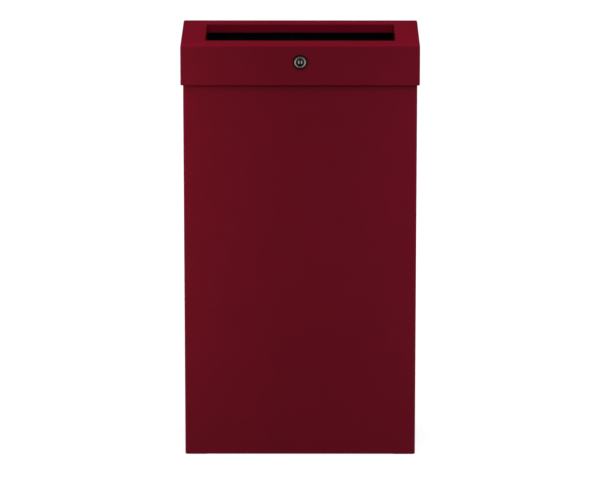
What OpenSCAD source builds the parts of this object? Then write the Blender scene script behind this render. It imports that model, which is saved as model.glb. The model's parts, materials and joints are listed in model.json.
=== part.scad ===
// Steel waste bin: a folded sheet body, a hinged lid with a waste slot and a cam lock,
// and a plastic inner bucket. Millimetres, +Z up, the front faces -Y.
// The origin lies on the floor, under the middle of the whole bin.

/* [Overall] */
// Width of the lid, left to right
lid_w = 330; // [240:1:420]
// Depth of the lid, front to back
lid_d = 176; // [140:1:260]
// Height from the floor to the top of the lid
total_h = 588; // [320:1:800]

/* [Sheet steel] */
// Thickness of the body and lid sheet
sheet_t = 1; // [0.8:0.1:1.5]
// Outside radius of every fold
fold_r = 3; // [2:0.25:4]

/* [Body] */
// How far the lid stands out past the body, at the front and at each side
overhang = 3.5; // [2.5:0.25:6]
// Drop from the top of the lid to the rim of the body
rim_drop = 8; // [7:0.5:12]
// Height of the edge of the floor tray
tray_edge_h = 15; // [8:1:30]
// Reach of the two rear flanges that the back panel is fixed to
back_flange = 14; // [10:1:25]

/* [Feet] */
// Side of a square foot pad
foot_side = 31; // [24:1:40]
// Thickness of a foot pad
foot_t = 3; // [2.5:0.25:6]
// How far the pads reach below the body
foot_drop = 0.8; // [0.5:0.1:2]
// Diameter of a foot rivet's shank
foot_rivet_d = 4; // [3:0.5:5]

/* [Lid] */
// Height of the lid's front and side skirts
skirt_h = 56.5; // [48:0.5:90]
// Strip of lid in front of the waste slot
strip_front = 34.5; // [31:0.5:60]
// Strip of lid at each side of the waste slot
strip_side = 34; // [22:0.5:70]
// Strip of lid behind the waste slot
strip_back = 23; // [21:0.5:50]
// Depth of the slot's turned-down edges
slot_edge_h = 13.5; // [8:0.5:16]
// Height of the folded-over safety hem along the skirts
hem_h = 10; // [5:0.5:18]
// Diameter of a rubber buffer between rim and lid
buffer_d = 10; // [7:0.5:10]
// Diameter of a buffer's neck in the rim
buffer_neck_d = 4; // [3:0.25:4]

/* [Hinge] */
// Length of the piano hinge
hinge_l = 286; // [180:2:290]
// Number of knuckles
knuckle_n = 13; // [7:2:17]
// Outside diameter of a knuckle
knuckle_d = 6; // [5:0.25:6.5]
// Diameter of the hinge pin
pin_d = 3; // [2:0.25:3.5]
// Thickness of the hinge leaves
leaf_t = 1.2; // [0.8:0.1:1.5]
// Reach of the lid leaf from the hinge axis
leaf_lid_w = 14; // [10:0.5:14]
// Reach of the body leaf from the hinge axis
leaf_body_w = 22; // [16:0.5:40]
// Number of rivets through the body leaf
hinge_rivet_n = 6; // [3:1:8]
// Diameter of a hinge rivet's shank
hinge_rivet_d = 3.2; // [2.4:0.2:4]

/* [Lock] */
// Drop from the top of the lid to the lock's axis
lock_drop = 23.4; // [22:0.1:26]
// Diameter of the bright face ring
lock_ring_d = 17.4; // [16.6:0.2:20]
// Diameter of the gasket under the ring
gasket_d = 20.5; // [19:0.25:24]
// Thickness of the gasket
gasket_t = 0.8; // [0.4:0.1:1.5]
// Diameter of the threaded barrel
barrel_d = 16; // [15:0.25:16.5]
// Width of the barrel across its two flats
barrel_flats = 14.2; // [13.4:0.1:14.8]
// Length of the barrel behind the front of the skirt
barrel_l = 12; // [10:0.5:13]
// Diameter of the turning plug
plug_d = 12; // [11:0.1:12.5]
// Diameter of the bright hub in the plug
hub_d = 6.4; // [5.5:0.1:8]
// Width of the keyway
keyway_w = 1.4; // [1:0.1:2]
// Thickness of the lock nut
nut_t = 4; // [3:0.25:4.5]
// Width of the lock nut across its flats
nut_flats = 20; // [18:0.5:22]
// Length of the cam from the lock's axis to its end
cam_l = 28; // [24:0.5:32]
// Width of the cam
cam_w = 11; // [9.5:0.5:13]
// Thickness of the cam
cam_t = 2; // [1.5:0.25:2.5]
// Free play between the turned cam and the body's rim
catch_play = 1.2; // [0.6:0.1:2]

/* [Inner bucket] */
// Wall of the bucket
bucket_wall = 2; // [1.5:0.25:3]
// Outside radius of the bucket's upright corners
bucket_corner_r = 18; // [8:1:25]
// Outside radius round the bucket's floor
bucket_floor_r = 8; // [4:0.5:12]
// Width of the bucket's rim bead
bucket_bead = 3; // [2:0.5:4]
// Gap between the bucket's bead and the body's rim at each side
bucket_gap_side = 6; // [5:0.5:20]
// Length of a hand hole
hand_hole_l = 84; // [60:1:90]
// Height of a hand hole
hand_hole_h = 22; // [16:1:30]

/* [Hidden] */
$fn = 48;
cut = 1;
running_fit = 0.05;
loose_fit = 0.1;
hidden_gap = 0.3;

// Lid and body boxes
ring_t = 1.6;
lock_face_out = gasket_t + ring_t;
lid_front_y = lock_face_out - (lid_d + lock_face_out) / 2;
lid_back_y = lid_front_y + lid_d;
lid_mid_y = (lid_front_y + lid_back_y) / 2;
lid_under_z = total_h - sheet_t;
skirt_bottom_z = total_h - skirt_h;
rim_z = total_h - rim_drop;
body_bottom_z = foot_drop;
body_w = lid_w - 2 * overhang;
body_front_y = lid_front_y + overhang;

// Hinge axis: behind the back panel, in the cover of the lid's short back edge
knuckle_room = 0.8;
leaf_proud = 0.4;
back_edge_below_axis = 1.2;
knuckle_r = knuckle_d / 2;
sheet_off_axis = knuckle_r + leaf_proud;
hinge_y = lid_back_y - sheet_t - knuckle_room - knuckle_r;
hinge_z = lid_under_z - sheet_off_axis;
panel_back_y = hinge_y - sheet_off_axis;
body_back_y = panel_back_y + sheet_t;
body_d = body_back_y - body_front_y;
body_mid_y = (body_front_y + body_back_y) / 2;
inside_w = body_w - 2 * sheet_t;
inside_front_y = body_front_y + sheet_t;
inside_back_y = panel_back_y - sheet_t;
lid_back_edge_h = sheet_t + sheet_off_axis + back_edge_below_axis;
knuckle_gap = 0.4;
leaf_clear = knuckle_r + knuckle_gap;
knuckle_pitch = hinge_l / knuckle_n;
leaf_recess_gap = 0.5;
rivet_head_t = 1;
rivet_head_spread = 2;
rivet_tail_spread = 1.5;

// Waste slot
slot_w = lid_w - 2 * strip_side;
slot_front_y = lid_front_y + strip_front;
slot_back_y = lid_back_y - strip_back;
slot_d = slot_back_y - slot_front_y;
slot_mid_y = (slot_front_y + slot_back_y) / 2;
slot_edge_r = fold_r;

// Lock stack, measured inwards from the front of the skirt
lock_z = total_h - lock_drop;
lock_washer_t = 1;
stop_post_h = 1.2;
stop_washer_t = 1;
washer_play = 0.1;
cam_at = barrel_l + stop_post_h + washer_play;
cam_washer_t = 0.8;
cam_washer_at = cam_at + cam_t;
cam_screw_at = cam_washer_at + cam_washer_t;
cam_screw_head_t = 2.2;
lock_depth = cam_screw_at + cam_screw_head_t;
plug_flats = 6.4;
plug_tail_d = 8;
cam_screw_d = 4;
cam_screw_l = 4.5;
cam_screw_head_d = 7.5;
cam_hub_r = 7;
ring_lip = 0.2;
ring_bore_d = plug_d - 2 * ring_lip;
ring_edge = 0.6;
ring_lip_t = 1.2;
plug_recess = 0.5;
plug_face = plug_recess - lock_face_out;
cap_t = 0.7;
cap_seat = 0.1;
keyway_depth = 8;
keyway_edge = 0.6;
washer_rim = 0.5;
stop_angle_from = -19.5;
stop_angle_to = 109.5;
stop_lug_half = 18;

// Rim of the body: turned in, then down, so that its lip stands over the turned cam
rim_w = cam_at + (cam_t + sheet_t) / 2 - overhang;
rim_lip_bottom_z = lock_z + cam_w / 2 + catch_play;
rim_lip_h = rim_z - rim_lip_bottom_z;
notch_clear = 3;
notch_half_w = nut_flats / 2 / cos(30) + notch_clear;

// Floor tray and feet
tray_z = foot_t;
tray_top_z = tray_z + sheet_t;
foot_mid_x = body_w / 2 - sheet_t - hidden_gap - foot_side / 2;
foot_front_y = inside_front_y + hidden_gap + foot_side / 2;
foot_back_y = inside_back_y - hidden_gap - foot_side / 2;
foot_rivet_rim = 1.75;
foot_rivet_head_d = foot_rivet_d + 2 * foot_rivet_rim;
foot_recess = 1.4;
foot_recess_gap = 0.5;

// Inner bucket
bucket_under_slot = 2.5;
bucket_top_z = total_h - slot_edge_h - bucket_under_slot;
bucket_w = body_w - 2 * (rim_w + bucket_gap_side);
bucket_behind_lock = 2;
bucket_before_panel = 2;
bucket_front_y = lid_front_y + lock_depth + bucket_behind_lock;
bucket_back_y = inside_back_y - bucket_before_panel;
bucket_d = bucket_back_y - bucket_front_y;
bucket_mid_y = (bucket_front_y + bucket_back_y) / 2;
bucket_bead_h = 5;
hand_hole_drop = 16;

// Buffers
buffer_gap = 0.3;
buffer_from_side = 50;
buffer_front_x = body_w / 2 - buffer_from_side;
rim_mid = rim_w / 2;
buffer_side_y = body_mid_y;
buffer_barb_h = 3;
buffer_barb = 0.6;
buffer_dome_h = 1.5;

powder_coat = [0.40, 0.06, 0.11];
bright_metal = [0.78, 0.76, 0.73];
zinc = [0.66, 0.68, 0.70];
dark_metal = [0.12, 0.11, 0.10];
rubber = [0.06, 0.06, 0.06];
black_plastic = [0.04, 0.04, 0.045];

// Plain shapes

// A rectangle with round corners, centred on the origin
module round_rect(w, d, r) {
  union() {
    square([w - 2 * r, d], center = true);
    square([w, d - 2 * r], center = true);
    for (x = [-1, 1], y = [-1, 1])
      translate([x * (w / 2 - r), y * (d / 2 - r)]) circle(r);
  }
}

// A block with round upright corners, from z0 to z1
module round_block(w, d, r, z0, z1) {
  translate([0, 0, z0]) linear_extrude(z1 - z0) round_rect(w, d, r);
}

// A quarter ring of folded sheet: centre on the origin, in the quarter where x and y are positive
module fold_arc(r) {
  intersection() {
    difference() {
      circle(r);
      circle(r - sheet_t);
    }
    square(r + cut);
  }
}

// A box from corner to corner
module block(from, to) {
  translate(from) cube(to - from);
}

// A rectangle with half-round ends, centred on the origin
module stadium(l, h) {
  union() {
    square([l - h, h], center = true);
    for (x = [-1, 1]) translate([x * (l - h) / 2, 0]) circle(d = h);
  }
}

// A box on the floor with upright corners of radius r, and folds of radius f round its top
module folded_box(w, d, h, r, f) {
  intersection() {
    linear_extrude(h) round_rect(w, d, r);
    rotate([90, 0, 0]) translate([0, 0, -d / 2 - cut]) linear_extrude(d + 2 * cut)
      translate([0, h / 2 - f]) round_rect(w, h + 2 * f, f);
    rotate([90, 0, 90]) translate([0, 0, -w / 2 - cut]) linear_extrude(w + 2 * cut)
      translate([0, h / 2 - f]) round_rect(d, h + 2 * f, f);
  }
}

// Stands a profile up along X: the profile's x points forward (-Y), its y points up
module along_x(length) {
  rotate([90, 0, -90]) translate([0, 0, -length / 2]) linear_extrude(length) children();
}

// Stands a profile up along Y for the right-hand side: the profile's x points to +X, its y points up
module along_y(length) {
  rotate([90, 0, 0]) translate([0, 0, -length / 2]) linear_extrude(length) children();
}

// Copies the children to both sides of the middle
module both_sides() {
  children();
  mirror([1, 0, 0]) children();
}

// Runs a section along the front and both sides of a box, mitred at the front corners.
// The section's origin is the outer face, at height z; reach is its width, end_y its rear end.
module folded_edge(w, d, reach, mid_y, z, end_y) {
  front_y = mid_y - d / 2;
  inner = w / 2 - reach - cut;
  translate([0, mid_y, 0]) intersection() {
    round_block(w, d, fold_r, 0, total_h);
    translate([0, -mid_y, 0]) union() {
      intersection() {
        translate([0, front_y, z]) along_x(w) children();
        linear_extrude(total_h) polygon([
          [-w / 2, front_y], [w / 2, front_y],
          [inner, front_y + reach + cut], [-inner, front_y + reach + cut]
        ]);
      }
      both_sides() intersection() {
        translate([w / 2, mid_y, z]) along_y(d) children();
        linear_extrude(total_h) polygon([
          [w / 2, front_y], [w / 2, end_y], [inner, end_y], [inner, front_y + reach + cut]
        ]);
      }
    }
  }
}

// Puts the children at the lock: their z points into the bin, their y points down
module at_lock(depth = 0) {
  translate([0, lid_front_y + depth, lock_z]) rotate([-90, 0, 0]) children();
}

// A disc with two flats
module flatted(d, flats) {
  intersection() {
    circle(d = d);
    square([d + cut, flats], center = true);
  }
}

// Body

// The rim's section: the wall's top fold, the flat, the lip's fold and the lip.
// Its origin is at the wall's outer face and the rim's top, and the wall stands at x = 0.
module rim_section() {
  flat_w = rim_w - 2 * fold_r;
  translate([-fold_r, -fold_r]) fold_arc(fold_r);
  translate([-fold_r - flat_w, -sheet_t]) square([flat_w, sheet_t]);
  translate([-rim_w + fold_r, -fold_r]) mirror([1, 0]) fold_arc(fold_r);
  translate([-rim_w, -rim_lip_h]) square([sheet_t, rim_lip_h - fold_r]);
}

module wrapper_walls() {
  translate([0, body_mid_y, 0]) difference() {
    round_block(body_w, body_d, fold_r, body_bottom_z, rim_z - fold_r);
    round_block(inside_w, body_d - 2 * sheet_t, fold_r - sheet_t, body_bottom_z - cut, rim_z);
    block([-body_w / 2 + back_flange, 0, body_bottom_z - cut], [body_w / 2 - back_flange, body_d, rim_z]);
  }
}

module wrapper_rim() {
  folded_edge(body_w, body_d, rim_w, body_mid_y, rim_z, inside_back_y - hidden_gap) rim_section();
}

module body_wrapper() {
  color(powder_coat) difference() {
    union() {
      wrapper_walls();
      wrapper_rim();
    }
    block([-notch_half_w, body_front_y - cut, lock_z],
          [notch_half_w, body_front_y + rim_w + cut, rim_z + cut]);
    block([-hinge_l / 2 - leaf_recess_gap, panel_back_y, hinge_z - leaf_body_w - leaf_recess_gap],
          [hinge_l / 2 + leaf_recess_gap, body_back_y + cut, rim_z + cut]);
    translate([0, body_front_y - cut, lock_z]) rotate([-90, 0, 0])
      cylinder(r = notch_half_w, h = rim_w + 2 * cut);
    both_sides() translate([buffer_front_x, body_front_y + rim_mid, rim_z - fold_r])
      cylinder(d = buffer_neck_d + 2 * loose_fit, h = fold_r + cut);
    both_sides() translate([body_w / 2 - rim_mid, buffer_side_y, rim_z - fold_r])
      cylinder(d = buffer_neck_d + 2 * loose_fit, h = fold_r + cut);
  }
}

module back_panel() {
  half_w = inside_w / 2 - fold_r + sheet_t;
  color(powder_coat) difference() {
    block([-half_w, inside_back_y, body_bottom_z], [half_w, panel_back_y, rim_z]);
    for (i = [0 : hinge_rivet_n - 1]) hinge_rivet_place(i)
      cylinder(d = hinge_rivet_d, h = 4 * sheet_t, center = true);
  }
}

module base_pan() {
  tray_d = inside_back_y - inside_front_y;
  tray_r = fold_r - sheet_t;
  color(powder_coat) difference() {
    translate([0, (inside_front_y + inside_back_y) / 2, 0]) difference() {
      round_block(inside_w, tray_d, tray_r, tray_z, tray_z + tray_edge_h);
      round_block(inside_w - 2 * sheet_t, tray_d - 2 * sheet_t, tray_r,
                  tray_top_z, tray_z + tray_edge_h + cut);
    }
    for (x = [-1, 1], y = [foot_front_y, foot_back_y])
      translate([x * foot_mid_x, y, tray_z - cut]) cylinder(d = foot_rivet_d, h = sheet_t + 2 * cut);
  }
}

module foot(side, y) {
  color(rubber) translate([side * foot_mid_x, y, 0]) difference() {
    round_block(foot_side, foot_side, fold_r, 0, foot_t);
    translate([0, 0, -cut]) cylinder(d = foot_rivet_d, h = foot_t + 2 * cut);
    translate([0, 0, -cut]) cylinder(d = foot_rivet_head_d + 2 * foot_recess_gap, h = foot_recess + cut);
  }
}

module foot_front_left() { foot(-1, foot_front_y); }

module foot_front_right() { foot(1, foot_front_y); }

module foot_rear_left() { foot(-1, foot_back_y); }

module foot_rear_right() { foot(1, foot_back_y); }

module foot_rivets() {
  color(zinc) for (x = [-1, 1], y = [foot_front_y, foot_back_y])
    translate([x * foot_mid_x, y, 0]) union() {
      translate([0, 0, foot_recess - rivet_head_t])
        cylinder(d = foot_rivet_head_d, h = rivet_head_t);
      translate([0, 0, foot_recess - cut / 2])
        cylinder(d = foot_rivet_d, h = tray_top_z - foot_recess + cut);
      translate([0, 0, tray_top_z])
        cylinder(d1 = foot_rivet_d * rivet_tail_spread, d2 = foot_rivet_d, h = rivet_head_t);
    }
}

// Lid

// The lid's outer form, shrunk by t all round
module lid_form(t) {
  translate([0, lid_mid_y, skirt_bottom_z - cut])
    folded_box(lid_w - 2 * t, lid_d - 2 * t, skirt_h - t + cut, fold_r - t, fold_r - t);
}

// One turned-down edge of the slot, on the -Y side, with its face at y = 0
module slot_edge(length) {
  along_x(length + 2 * slot_edge_r) translate([slot_edge_r, -slot_edge_r])
    mirror([1, 0]) fold_arc(slot_edge_r);
  along_x(length + 2 * sheet_t) translate([0, -slot_edge_h])
    square([sheet_t, slot_edge_h - slot_edge_r]);
}

// The skirt's lower edge: the sheet folded back flat against itself, with its outer face at x = 0
module hem_section() {
  translate([-sheet_t, sheet_t]) circle(r = sheet_t);
  translate([-2 * sheet_t, sheet_t]) square([2 * sheet_t, hem_h - sheet_t]);
}

module slot_edges() {
  translate([0, slot_front_y, total_h]) slot_edge(slot_w);
  translate([0, slot_back_y, total_h]) mirror([0, 1, 0]) slot_edge(slot_w);
  both_sides() translate([-slot_w / 2, slot_mid_y, total_h]) rotate([0, 0, -90]) slot_edge(slot_d);
}

module lid_shell() {
  color(powder_coat) union() {
    difference() {
      lid_form(0);
      lid_form(sheet_t);
      block([-lid_w, lid_front_y - cut, skirt_bottom_z - 2 * cut],
            [lid_w, lid_back_y + cut, skirt_bottom_z + sheet_t]);
      block([-slot_w / 2 - slot_edge_r, slot_front_y - slot_edge_r, lid_under_z - cut],
            [slot_w / 2 + slot_edge_r, slot_back_y + slot_edge_r, total_h + cut]);
      block([-lid_w / 2 + fold_r, lid_back_y - sheet_t - cut, skirt_bottom_z - cut],
            [lid_w / 2 - fold_r, lid_back_y + cut, total_h - lid_back_edge_h]);
      at_lock(-cut) linear_extrude(sheet_t + 2 * cut)
        flatted(barrel_d + 2 * loose_fit, barrel_flats + 2 * loose_fit);
    }
    slot_edges();
    folded_edge(lid_w, lid_d, 2 * sheet_t, lid_mid_y, skirt_bottom_z, lid_back_y - fold_r) hem_section();
  }
}

module lid_buffer() {
  head_h = lid_under_z - rim_z - buffer_gap;
  cylinder(d = buffer_d, h = head_h - buffer_dome_h);
  translate([0, 0, head_h - buffer_dome_h])
    cylinder(d1 = buffer_d, d2 = buffer_d - 2 * buffer_dome_h, h = buffer_dome_h);
  translate([0, 0, -sheet_t - cut / 2]) cylinder(d = buffer_neck_d, h = sheet_t + cut);
  translate([0, 0, -sheet_t - buffer_barb_h])
    cylinder(d1 = buffer_neck_d - 2 * buffer_barb, d2 = buffer_neck_d + 2 * buffer_barb, h = buffer_barb_h);
}

module lid_buffers() {
  color(rubber) {
    both_sides() translate([buffer_front_x, body_front_y + rim_mid, rim_z]) lid_buffer();
    both_sides() translate([body_w / 2 - rim_mid, buffer_side_y, rim_z]) lid_buffer();
  }
}

// Hinge

// Puts the children at rivet i of the body's leaf, turned so that their z points backwards
module hinge_rivet_place(i) {
  rivet_pitch = hinge_l / hinge_rivet_n;
  rivet_z = hinge_z - (leaf_clear + leaf_body_w) / 2;
  translate([-hinge_l / 2 + (i + 0.5) * rivet_pitch, panel_back_y, rivet_z]) rotate([-90, 0, 0]) children();
}

// A leaf that hangs down from the axis, with its own knuckles: every second one from the first
module hinge_leaf(first, reach) {
  tab_l = knuckle_pitch - knuckle_gap;
  leaf_back = sheet_off_axis - leaf_t;
  difference() {
    union() {
      block([-hinge_l / 2 + knuckle_gap / 2, -sheet_off_axis, -reach],
            [hinge_l / 2 - knuckle_gap / 2, -leaf_back, -leaf_clear]);
      for (i = [first : 2 : knuckle_n - 1])
        translate([-hinge_l / 2 + (i + 0.5) * knuckle_pitch, 0, 0]) union() {
          block([-tab_l / 2, -sheet_off_axis, -leaf_clear - cut / 2], [tab_l / 2, -leaf_back, 0]);
          rotate([0, 90, 0]) cylinder(d = knuckle_d, h = tab_l, center = true);
        }
    }
    rotate([0, 90, 0]) cylinder(d = pin_d + 2 * running_fit, h = hinge_l + 2 * cut, center = true);
  }
}

module hinge_leaf_body() {
  color(zinc) difference() {
    translate([0, hinge_y, hinge_z]) hinge_leaf(0, leaf_body_w);
    for (i = [0 : hinge_rivet_n - 1]) hinge_rivet_place(i)
      cylinder(d = hinge_rivet_d, h = 2 * leaf_t + cut);
  }
}

module hinge_leaf_lid() {
  color(zinc) translate([0, hinge_y, hinge_z]) rotate([-90, 0, 0]) hinge_leaf(1, leaf_lid_w);
}

module hinge_pin() {
  color(bright_metal) translate([0, hinge_y, hinge_z]) rotate([0, 90, 0])
    cylinder(d = pin_d, h = hinge_l, center = true);
}

module hinge_rivets() {
  head_d = hinge_rivet_d * rivet_head_spread;
  tail_d = hinge_rivet_d * rivet_tail_spread;
  color(zinc) for (i = [0 : hinge_rivet_n - 1]) hinge_rivet_place(i) union() {
    translate([0, 0, -sheet_t - cut / 2]) cylinder(d = hinge_rivet_d, h = sheet_t + leaf_t + cut);
    translate([0, 0, leaf_t]) cylinder(d1 = head_d, d2 = hinge_rivet_d, h = rivet_head_t);
    translate([0, 0, -sheet_t - rivet_head_t]) cylinder(d = tail_d, h = rivet_head_t);
  }
}

// Lock

module lock_housing() {
  color(bright_metal) at_lock() difference() {
    union() {
      translate([0, 0, -lock_face_out])
        cylinder(d1 = lock_ring_d - 2 * ring_edge, d2 = lock_ring_d, h = ring_edge);
      translate([0, 0, ring_edge - lock_face_out]) cylinder(d = lock_ring_d, h = ring_t - ring_edge);
      translate([0, 0, -gasket_t - cut / 2]) linear_extrude(barrel_l + gasket_t + cut / 2)
        flatted(barrel_d, barrel_flats);
      translate([0, 0, barrel_l - cut / 2]) linear_extrude(stop_post_h + cut / 2) difference() {
        flatted(barrel_d, barrel_flats);
        stop_window();
      }
    }
    translate([0, 0, -lock_face_out - cut]) cylinder(d = ring_bore_d, h = ring_lip_t + cut);
    translate([0, 0, ring_lip_t - lock_face_out])
      cylinder(d = plug_d + 2 * running_fit, h = lock_face_out + barrel_l + stop_post_h);
  }
}

// The sector that the stop washer's lug can turn in
module stop_window() {
  reach = 2 * barrel_d;
  mid_angle = (stop_angle_from + stop_angle_to) / 2;
  polygon([
    [0, 0],
    reach * [cos(stop_angle_from), sin(stop_angle_from)],
    2 * reach * [cos(mid_angle), sin(mid_angle)],
    reach * [cos(stop_angle_to), sin(stop_angle_to)]
  ]);
}

module lock_gasket() {
  color(rubber) at_lock(-gasket_t) linear_extrude(gasket_t) difference() {
    circle(d = gasket_d);
    flatted(barrel_d + 2 * loose_fit, barrel_flats + 2 * loose_fit);
  }
}

module lock_washer() {
  color(zinc) at_lock(sheet_t) linear_extrude(lock_washer_t) difference() {
    circle(d = nut_flats + 2 * washer_rim);
    circle(d = barrel_d + 2 * loose_fit);
  }
}

module lock_nut() {
  color(zinc) at_lock(sheet_t + lock_washer_t) linear_extrude(nut_t) difference() {
    circle(d = nut_flats / cos(30), $fn = 6);
    circle(d = barrel_d + 2 * running_fit);
  }
}

module lock_plug() {
  color(bright_metal) at_lock() difference() {
    union() {
      translate([0, 0, plug_face]) cylinder(d = hub_d, h = cap_t + cap_seat);
      translate([0, 0, plug_face + cap_t + cap_seat])
        cylinder(d = plug_d, h = barrel_l - plug_face - cap_t - cap_seat);
      translate([0, 0, barrel_l - cut / 2]) linear_extrude(cam_washer_at - barrel_l + cut / 2)
        flatted(plug_tail_d, plug_flats);
    }
    translate([0, 0, plug_face - cut]) linear_extrude(keyway_depth + cut)
      square([keyway_w, hub_d - 2 * keyway_edge], center = true);
    translate([0, 0, cam_washer_at - cam_screw_l]) cylinder(d = cam_screw_d, h = cam_screw_l + cut);
  }
}

module lock_plug_cap() {
  color(dark_metal) at_lock(plug_face + cap_seat) difference() {
    cylinder(d = ring_bore_d - 2 * running_fit, h = cap_t);
    translate([0, 0, -cut]) cylinder(d = hub_d, h = cap_t + 2 * cut);
  }
}

module lock_stop_washer() {
  color(zinc) at_lock(barrel_l + washer_play) linear_extrude(stop_washer_t) difference() {
    union() {
      circle(d = ring_bore_d);
      intersection() {
        circle(r = barrel_d / 2 - ring_lip);
        polygon([[0, 0], barrel_d * [cos(stop_lug_half), -sin(stop_lug_half)],
                 barrel_d * [cos(stop_lug_half), sin(stop_lug_half)]]);
      }
    }
    flatted(plug_tail_d, plug_flats);
  }
}

module lock_cam() {
  end_r = cam_w / 2;
  color(zinc) at_lock(cam_at) linear_extrude(cam_t) difference() {
    union() {
      circle(r = cam_hub_r);
      translate([-end_r, 0]) square([cam_w, cam_l - end_r]);
      translate([0, cam_l - end_r]) circle(r = end_r);
    }
    flatted(plug_tail_d, plug_flats);
  }
}

module cam_washer() {
  color(zinc) at_lock(cam_washer_at) linear_extrude(cam_washer_t) difference() {
    circle(d = plug_tail_d + 2 * washer_rim);
    circle(d = cam_screw_d);
  }
}

module cam_screw() {
  cross_w = cam_screw_d / 4;
  color(zinc) at_lock() difference() {
    union() {
      translate([0, 0, cam_screw_at]) cylinder(d = cam_screw_head_d, h = cam_screw_head_t);
      translate([0, 0, cam_washer_at - cam_screw_l])
        cylinder(d = cam_screw_d, h = cam_screw_l + cam_washer_t + cut / 2);
    }
    for (a = [0, 90]) rotate(a) translate([0, 0, lock_depth])
      cube([cross_w, 5 * cross_w, cam_screw_head_t], center = true);
  }
}

// Inner bucket

// The bucket's walls, shrunk by t all round, from its floor up to z1
module bucket_form(t, z1) {
  wall_w = bucket_w - 2 * bucket_bead - 2 * t;
  wall_d = bucket_d - 2 * bucket_bead - 2 * t;
  translate([0, bucket_mid_y, z1]) mirror([0, 0, 1])
    folded_box(wall_w, wall_d, z1 - tray_top_z - t, bucket_corner_r - t, bucket_floor_r - t);
}

module inner_liner() {
  bead_z = bucket_top_z - bucket_bead_h;
  bead_r = bucket_corner_r + bucket_bead;
  hole_z = bucket_top_z - hand_hole_drop - hand_hole_h / 2;
  color(black_plastic) difference() {
    union() {
      bucket_form(0, bucket_top_z);
      translate([0, bucket_mid_y, 0])
        round_block(bucket_w, bucket_d, bead_r, bead_z, bucket_top_z);
    }
    bucket_form(bucket_wall, bucket_top_z + cut);
    translate([-bucket_w, bucket_mid_y, hole_z]) rotate([90, 0, 90]) linear_extrude(2 * bucket_w)
      stadium(hand_hole_l, hand_hole_h);
  }
}

body_wrapper();
back_panel();
base_pan();
foot_front_left();
foot_front_right();
foot_rear_left();
foot_rear_right();
foot_rivets();
lid_shell();
lid_buffers();
hinge_leaf_body();
hinge_leaf_lid();
hinge_pin();
hinge_rivets();
lock_housing();
lock_gasket();
lock_washer();
lock_nut();
lock_plug();
lock_plug_cap();
lock_stop_washer();
lock_cam();
cam_washer();
cam_screw();
inner_liner();
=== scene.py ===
import json
import math

import bmesh
import bpy
from bpy.props import FloatProperty, FloatVectorProperty, IntProperty, PointerProperty
from mathutils import Matrix, Vector


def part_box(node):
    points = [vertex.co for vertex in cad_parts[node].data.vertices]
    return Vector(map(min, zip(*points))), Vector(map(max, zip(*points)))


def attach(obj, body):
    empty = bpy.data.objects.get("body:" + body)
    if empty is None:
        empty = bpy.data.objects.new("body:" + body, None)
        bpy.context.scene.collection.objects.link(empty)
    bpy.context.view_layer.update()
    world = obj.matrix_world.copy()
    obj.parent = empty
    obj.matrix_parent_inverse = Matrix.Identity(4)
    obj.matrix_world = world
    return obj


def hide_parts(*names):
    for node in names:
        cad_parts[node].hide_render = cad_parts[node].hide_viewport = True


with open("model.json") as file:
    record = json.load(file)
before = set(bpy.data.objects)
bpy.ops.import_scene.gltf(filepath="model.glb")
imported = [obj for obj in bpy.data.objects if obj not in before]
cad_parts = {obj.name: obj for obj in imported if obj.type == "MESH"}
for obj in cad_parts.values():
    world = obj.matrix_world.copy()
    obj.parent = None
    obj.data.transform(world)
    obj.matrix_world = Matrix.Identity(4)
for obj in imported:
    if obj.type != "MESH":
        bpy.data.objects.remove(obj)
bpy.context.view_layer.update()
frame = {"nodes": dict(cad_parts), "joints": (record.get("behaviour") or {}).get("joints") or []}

bl_info = {
    "name": "Steel waste bin",
    "version": (1, 0, 0),
    "blender": (4, 5, 0),
    "location": "View3D > Sidebar > Waste bin",
    "description": "Finishes the steel waste bin: coated sheet, lock, hinge, rubber and bucket",
    "category": "Object",
}

# One millimetre in scene units
MM = 0.001
# Where the lock's axis meets the front of the lid's skirt
LOCK = next(Vector(joint["pos_m"]) for joint in frame["joints"] if joint["name"] == "lock_turn")
# Thickness of the sheet steel, of the hinge's leaves and of a foot rivet's head
SHEET = 1.0 * MM
LEAF = 1.2 * MM
RIVET_HEAD = 1.0 * MM
# Points that lie nearer to each other than this are one point
SAME_POINT = 0.001 * MM
# Faces that bend less than this are one flat face
SAME_FACE = math.radians(0.2)
# Edges that bend more than this are corners of the real piece, and less are facets of a round one
CORNER = math.radians(38)
# Turns a shape's Z to point backwards, or down
BACKWARDS = Matrix.Rotation(-math.pi / 2, 4, "X")
DOWNWARDS = Matrix.Rotation(math.pi, 4, "X")
# Puts a shape at the lock: its Z points into the bin, from the front of the skirt
AT_LOCK = Matrix.Translation(LOCK) @ BACKWARDS


# Settings that a user would change


class CoatSettings(bpy.types.PropertyGroup):
    """The powder coat on the sheet steel"""

    colour: FloatVectorProperty(
        name="Coat colour", description="Burgundy of the powder coat", subtype="COLOR", size=3,
        min=0, max=1, default=(0.167, 0.0052, 0.0157))
    deep_colour: FloatVectorProperty(
        name="Deep colour", description="The coat where it lies thicker", subtype="COLOR", size=3,
        min=0, max=1, default=(0.1555, 0.0047, 0.0143))
    # This colour paints the highlight that the gloss gives on the upright front folds
    fold_highlight_colour: FloatVectorProperty(
        name="Worn colour", description="The coat where it lies thin and rubbed on the front folds",
        subtype="COLOR", size=3, min=0, max=1, default=(0.205, 0.0135, 0.027))
    roughness: FloatProperty(
        name="Roughness", description="Gloss of the semi-matt coat", min=0, max=1, subtype="FACTOR",
        default=0.33)
    peel_size: FloatProperty(
        name="Orange peel size", description="Width of one ripple of the coat", min=0.0003,
        max=0.01, unit="LENGTH", default=1.1 * MM)
    edge_radius: FloatProperty(
        name="Sheet edge radius", description="Rounding of the sheet's cut edges under the coat",
        min=0, max=0.0005, unit="LENGTH", default=0.28 * MM)


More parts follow.
